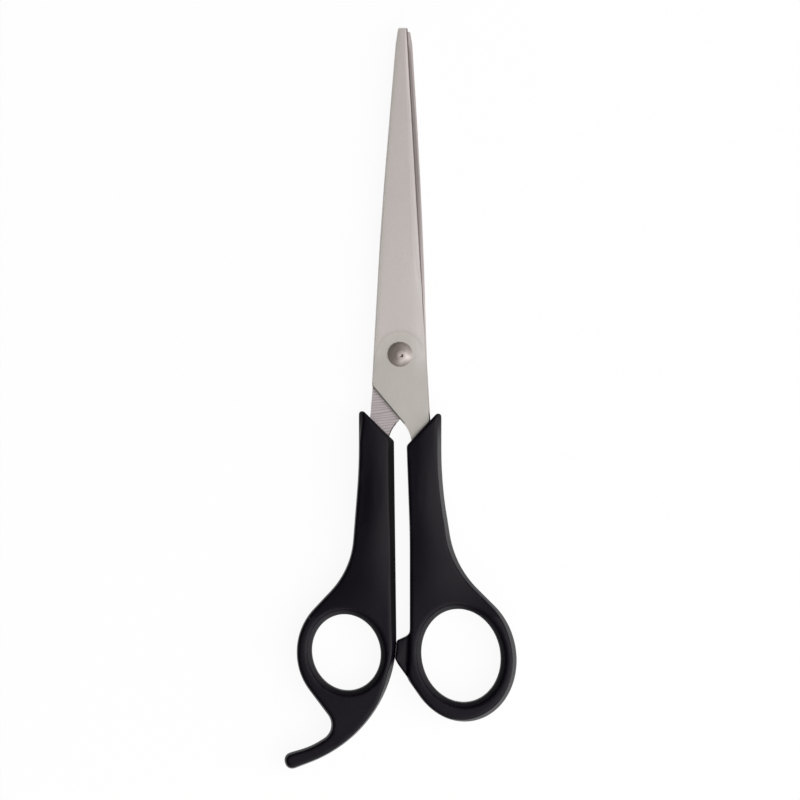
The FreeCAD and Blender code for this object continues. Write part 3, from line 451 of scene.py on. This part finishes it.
def machined(node, name, finish, body, sharp, edge):
    """A steel piece: the CAD shell, shaded crisp past the sharp angle, with its edges broken."""
    piece = merged(node, name, finish)
    shell = bmesh.new()
    shell.from_mesh(piece.data)
    if node == "front_blade":
        crisp_heel(shell)
    bmesh.ops.dissolve_limit(
        shell, verts=shell.verts, edges=shell.edges, angle_limit=math.radians(0.6)
    )
    if node == "rear_blade":
        eased_throat(shell)
    for face in shell.faces:
        face.smooth = True
    shell.normal_update()
    for joint in shell.edges:
        joint.smooth = (
            len(joint.link_faces) == 2 and joint.calc_face_angle() < math.radians(sharp)
        )
    shell.to_mesh(piece.data)
    shell.free()
    if edge:
        rim = piece.modifiers.new("edge_break", "BEVEL")
        rim.width, rim.segments, rim.limit_method = edge * MM, 2, "ANGLE"
        rim.angle_limit, rim.harden_normals = math.radians(sharp), True
    if node == "pivot_rivet":
        peened(piece)
    even = piece.modifiers.new("even_shading", "WEIGHTED_NORMAL")
    even.keep_sharp = True
    stands_for(piece, node, body)


def bevel_shape(node, x, y, side):
    """How far a bevel's outer rim drops, in mm, and the share by which its inner rim moves out,
    at a point of a grip whose side faces that way."""
    bow, half_wide, half_long = BOW_HOLES[node]
    lit = ramp(side.x * LIT_X + side.y * LIT_Y, 0.0, 0.8)
    if math.hypot((x - bow.x) / half_wide, (y - bow.y) / half_long) < HOLE_RATIO:
        return 0.35 + 0.9 * lit, 0.0
    below_mouth = ramp(-y, 5.0, 12.0)
    if node == "right_handle":
        return (0.5 + 2.4 * lit) * below_mouth, (0.8 - 0.7 * lit) * below_mouth
    gap_side = ramp(x, -3.4, -1.9) * ramp(y, -75.0, -66.0)
    finger_rest = ramp(-y, 76.0, 84.0)
    lit *= 1 - gap_side
    slim = (0.8 - 0.7 * lit) * (1 - finger_rest) + 0.62 * finger_rest
    return (0.5 + 2.1 * lit) * below_mouth + 0.3 * gap_side, slim * below_mouth * (1 - gap_side)


def is_bevel(face):
    """Whether a face is on one of a grip's upper bevels."""
    high = min(corner.co.z for corner in face.verts) > MID + 0.2 * MM
    return high and BEVEL_LOW < face.normal.z < BEVEL_HIGH


def bevel_rims(shell):
    """The corners on the outer rims of a grip's upper bevels, with their sides, those on the inner
    rims, and those on the slopes between."""
    outer, inner, between = {}, [], []
    for corner in shell.verts:
        if any(is_bevel(face) for face in corner.link_faces):
            walls = [
                face.normal for face in corner.link_faces
                if abs(face.normal.z) < WALL_UP and face.calc_area() > SLIVER * MM * MM
            ]
            if walls:
                outer[corner] = sum(walls, Vector()).normalized()
            elif any(face.normal.z > BEVEL_HIGH for face in corner.link_faces):
                inner.append(corner)
            else:
                between.append(corner)
    return outer, inner, between


def tree_of(corners):
    """A tree that finds the nearest of these corners."""
    tree = KDTree(len(corners))
    for index, corner in enumerate(corners):
        tree.insert(corner.co, index)
    tree.balance()
    return tree


def eased_sides(corners, sides, near):
    """Each rim corner's side, averaged with those of its neighbours on the same rim."""
    eased, span = [], RIM_SPAN * MM
    for corner, side in zip(corners, sides):
        total = Vector()
        for _, index, gap in near.find_range(corner.co, span):
            if sides[index].dot(side) > 0.4:
                total += sides[index] * (1 - gap / span)
        eased.append(total.normalized())
    return eased


def cut_bevels(shell):
    """Cuts the upper bevels into triangles small enough to take a new slope smoothly."""
    for _ in range(CUT_ROUNDS):
        shell.normal_update()
        long = [
            edge for edge in shell.edges
            if edge.calc_length() > BEVEL_EDGE * MM and any(map(is_bevel, edge.link_faces))
        ]
        if long:
            bmesh.ops.subdivide_edges(shell, edges=long, cuts=1)
            uncut = [face for face in shell.faces if len(face.verts) > 3]
            bmesh.ops.triangulate(shell, faces=uncut)
    shell.normal_update()


def shape_bevels(piece, node):
    """Makes a grip's upper bevels steeper and slimmer where its side says so."""
    shell = bmesh.new()
    shell.from_mesh(piece.data)
    cut_bevels(shell)
    outer, inner, between = bevel_rims(shell)
    corners = list(outer)
    near, near_inner = tree_of(corners), tree_of(inner)
    sides = eased_sides(corners, list(outer.values()), near)
    shapes = [
        bevel_shape(node, corner.co.x / MM, corner.co.y / MM, side)
        for corner, side in zip(corners, sides)
    ]
    moves = [(corner, Vector((0, 0, -drop * MM))) for corner, (drop, _) in zip(corners, shapes)]
    for corner in inner + between:
        way = sum((face.normal for face in corner.link_faces if is_bevel(face)), Vector())
        way.z = 0

        # The nearest corner of a rim that faces the same way as this slope.
        goal, index, gap = near.find(
            corner.co, filter=lambda i: sides[i].dot(way) > 0.6 * way.length + 0.01
        )
        if goal is None or gap > WIDEST_BEVEL * MM:
            continue
        drop, share = shapes[index]
        inward = near_inner.find(corner.co)[2]
        part = inward / (inward + gap)
        slide = (goal - corner.co) * share
        moves.append((corner, Vector((slide.x, slide.y, -drop * part * MM))))
    for corner, move in moves:
        corner.co += move
    shell.to_mesh(piece.data)
    shell.free()


def arch_back(piece, node):
    """Arches the back of a grip where its shank widens into the bow."""
    crest, half = BACKS[node]
    for corner in piece.data.vertices:
        x, y, high = corner.co.x / MM, corner.co.y / MM, (corner.co.z - MID) / MM
        along = ramp(-y, 31.0, 41.0) * ramp(y, -60.0, -50.0)
        if high > 0 and along > 0:
            off = ((x - crest) / half) ** 2
            fall = 0.8 * off / (1 + 0.25 * off)
            corner.co.z -= fall * along * ramp(high, 0.0, 3.0) * MM


def seat_stop(piece):
    """Brings the stop's face up to the curved side of the other grip, which it rests on."""
    top, bottom, root, flat_face = -66.0, -72.4, 1.2, 0.90
    for corner in piece.data.vertices:
        x, y = corner.co.x / MM, corner.co.y / MM
        if x < root and bottom < y < top:
            curved_side = 1.05 + 0.0168 * (y + 66.5) ** 2
            along = ramp(y, bottom, -71.3) * ramp(-y, -top, 66.8)
            corner.co.x -= (curved_side - flat_face) * along * ramp(-x, -root, 0.6) * MM


def moulded(node, name, finish, body):
    """A moulded grip: the CAD shell remade as an even skin, with its edges rounded soft."""
    piece = merged(node, name, finish)
    shape_bevels(piece, node)
    skin = piece.modifiers.new("even_skin", "REMESH")
    skin.mode, skin.voxel_size, skin.use_smooth_shade = "VOXEL", SKIN_CELL * MM, True
    soft = piece.modifiers.new("soft_edges", "SMOOTH")
    soft.factor, soft.iterations = 0.5, SKIN_PASSES
    settle(piece)
    arch_back(piece, node)
    low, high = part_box(node)
    for corner in piece.data.vertices:
        corner.co = [min(max(c, a), b) for c, a, b in zip(corner.co, low, high)]
    if node == "right_handle":
        seat_stop(piece)
    piece.data.materials.clear()
    piece.data.materials.append(finish)
    stands_for(piece, node, body)


# ---------------------------------------------------------------- stage


def camera():
    """A long lens, straight above."""
    far, view_wide = 1.5, 0.2194
    data = bpy.data.cameras.new("above")
    data.sensor_width = 36.0
    data.lens = data.sensor_width * far / view_wide
    data.clip_end = 10.0
    seen = bpy.data.objects.new("above", data)
    seen.location = (-0.05 * MM, -0.5 * MM, MID + far)
    bpy.context.scene.collection.objects.link(seen)
    bpy.context.scene.camera = seen


def soft_lamp(name, place, size, watts):
    """A round lamp that points at the middle of the scene."""
    data = bpy.data.lights.new(name, "AREA")
    data.shape, data.size, data.energy = "DISK", size, watts
    lamp = bpy.data.objects.new(name, data)
    lamp.location = place
    lamp.rotation_mode = "QUATERNION"
    lamp.rotation_quaternion = (-Vector(place)).to_track_quat("-Z", "Y")
    bpy.context.scene.collection.objects.link(lamp)


def plain_floor(half):
    """A square white floor, just under the shears."""
    mesh = bpy.data.meshes.new("floor")
    ends = [(-half, -half), (half, -half), (half, half), (-half, half)]
    mesh.from_pydata([(x, y, FLOOR) for x, y in ends], [], [(0, 1, 2, 3)])
    mesh.materials.append(floor_white("floor_white"))
    floor = bpy.data.objects.new("floor", mesh)
    bpy.context.scene.collection.objects.link(floor)


def studio_sky():
    """A dim studio all round, brighter to the right and a little to the front."""
    world = bpy.data.worlds.new("studio")
    bpy.context.scene.world = world
    sky = Look("studio", world)
    way = sky.node("TexCoord", out="Generated")
    bright_side = (0.85, -0.35, 0.30)
    lean = sky.node(
        "VectorMath", {"operation": "DOT_PRODUCT"}, {0: way, 1: bright_side}, out="Value"
    )
    strength = sky.math("MAXIMUM", lean * 0.84 + 0.145, 0.09)
    glow = sky.node(
        "Background", inputs={"Color": (1.0, 0.985, 0.975, 1), "Strength": strength}
    )
    sky.node("OutputWorld", inputs={"Surface": glow})


camera()
plain_floor(half=3.0)
soft_lamp("high_lamp", (0.62, -0.15, 1.00), size=1.30, watts=8.6)
soft_lamp("near_lamp", (0.12, -0.95, 0.90), size=0.90, watts=3.6)
soft_lamp("right_lamp", (1.10, -0.30, 0.40), size=0.80, watts=5.0)
studio_sky()

steel = satin_steel("satin_steel")
turned = turned_steel("turned_steel")
plastic = moulded_black("moulded_black")
machined("front_blade", "front_blade_ground", steel, "upper", sharp=8, edge=0.05)
machined("rear_blade", "rear_blade_ground", steel, "lower", sharp=8, edge=0.05)
machined("pivot_rivet", "pivot_rivet_turned", turned, "lower", sharp=30, edge=0)
machined("rivet_washer", "rivet_washer_turned", turned, "lower", sharp=30, edge=0)
moulded("left_handle", "left_grip_moulded", plastic, "lower")
moulded("right_handle", "right_grip_moulded", plastic, "upper")

bpy.context.scene.view_settings.view_transform = "Standard"
